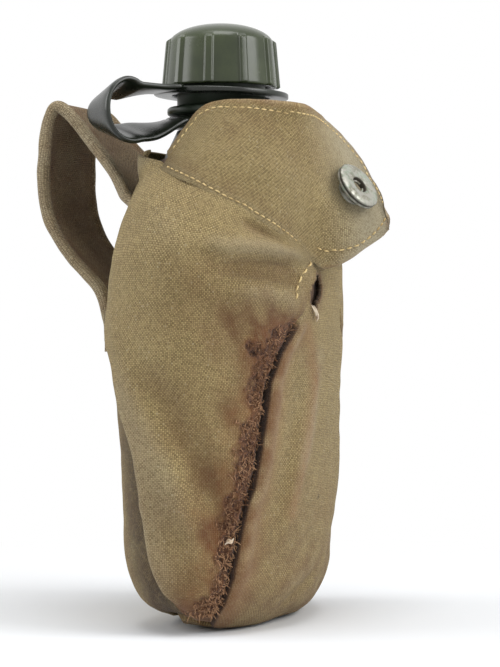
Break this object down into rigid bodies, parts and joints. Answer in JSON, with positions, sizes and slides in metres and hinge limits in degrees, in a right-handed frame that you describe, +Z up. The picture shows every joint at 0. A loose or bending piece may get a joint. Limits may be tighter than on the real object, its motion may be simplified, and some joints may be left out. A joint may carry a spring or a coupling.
{
  "type": "field canteen",
  "caption": "Kidney-shaped screw-cap field canteen in a worn canvas carrier with snap flaps, a belt loop and a moulded cap-retaining strap.",
  "frame": {"origin": "centre of the neck axis on the flat underside of the carrier's bottom panel", "axes": "+Z up along the neck axis, X across the carrier's width, front panel towards -Y, belt loop towards +Y"},
  "size_m": [0.1258, 0.1255, 0.215],
  "materials": {
    "canvas": "faded plain-weave canvas",
    "webbing": "doubled webbing with rolled edges",
    "felt": "frayed brown felt",
    "bottle_plastic": "matte moulded",
    "cap_plastic": "satin moulded",
    "strap_plastic": "glossy flexible",
    "gasket_rubber": "matte",
    "snap_metal": "weathered grey-green"
  },
  "bodies": {
    "cover": {"bottle": "bottle_plastic", "front_panel": "canvas", "back_panel": "canvas", "gore_left": "canvas", "gore_right": "canvas", "front_lining": "felt", "back_lining": "felt", "bottom_panel": "canvas", "bottom_lining": "felt", "belt_loop": "webbing", "flap_root_left": "canvas", "flap_root_right": "canvas"},
    "strap": {"strap_neck_ring": "strap_plastic", "strap_band": "strap_plastic"},
    "cap_ring": {"strap_cap_ring": "strap_plastic"},
    "cap": {"cap": "cap_plastic", "cap_gasket": "gasket_rubber"},
    "flap_left": {"flap_left": "canvas", "snap_socket_left": "snap_metal", "snap_washer_left": "snap_metal"},
    "flap_right": {"flap_right": "canvas", "snap_socket_right": "snap_metal", "snap_washer_right": "snap_metal"}
  },
  "joints": [
    {"name": "strap_swivel", "type": "hinge", "parent": "cover", "child": "strap", "pos_m": [0, 0, 0.179], "axis": [0, 0, 1], "range_deg": [-9, 4]},
    {"name": "cap_lift", "type": "slide", "parent": "strap", "child": "cap_ring", "axis": [0, 0, 1], "range_m": [0, 0.012], "deforming": ["strap_band"]},
    {"name": "cap_turn", "type": "hinge", "parent": "cap_ring", "child": "cap", "pos_m": [0, 0, 0.2], "axis": [0, 0, 1], "range_deg": [0, 720]},
    {"name": "flap_left_swing", "type": "hinge", "parent": "cover", "child": "flap_left", "pos_m": [-0.01136, -0.03853, 0.13382], "axis": [-0.2765, -0.0485, 0.9598], "range_deg": [-32, 8]},
    {"name": "flap_right_swing", "type": "hinge", "parent": "cover", "child": "flap_right", "pos_m": [0.03308, -0.03551, 0.14013], "axis": [-0.5025, 0.2719, 0.8207], "range_deg": [0, 36]}
  ],
  "couplings": [
    {"joint": "cap_lift", "follows": "cap_turn", "m_per_rad": 0.000954}
  ]
}
